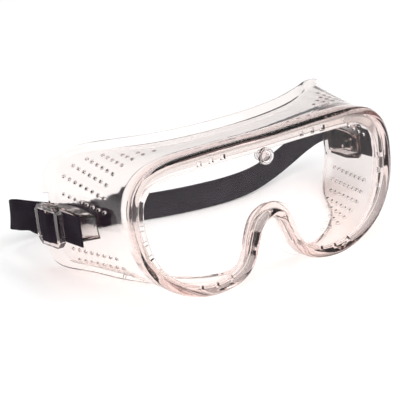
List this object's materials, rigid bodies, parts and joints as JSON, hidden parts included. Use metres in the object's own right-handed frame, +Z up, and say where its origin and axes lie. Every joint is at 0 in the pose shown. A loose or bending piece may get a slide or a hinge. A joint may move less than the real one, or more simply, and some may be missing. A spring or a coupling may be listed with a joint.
{
  "type": "safety goggles",
  "caption": "Clear soft-framed safety goggles with vent holes, a clear lens and an elastic headband that turns on two side lugs.",
  "frame": {"origin": "middle of the footprint, on the table that the goggles rest on", "axes": "+X towards the wearer's left, +Y from the lens towards the wearer's face, +Z up"},
  "size_m": [0.1996, 0.1074, 0.0745],
  "materials": {
    "frame_body": "soft clear plastic, glossy, faintly rose",
    "lens": "polished clear polycarbonate",
    "brow_stud": "clear, glossy",
    "right_buckle": "clear, glossy, faintly rose",
    "left_buckle": "clear, glossy, faintly rose",
    "strap": "matt black woven elastic"
  },
  "bodies": {
    "goggles": {"frame_body": "frame_body", "lens": "lens", "brow_stud": "brow_stud"},
    "headband": {"strap": "strap", "right_buckle": "right_buckle", "left_buckle": "left_buckle"}
  },
  "joints": [
    {"name": "headband_swing", "type": "hinge", "parent": "goggles", "child": "headband", "pos_m": [-0.00097, 0.01038, 0.03066], "axis": [1, 0, 0], "range_deg": [0, 50]}
  ]
}
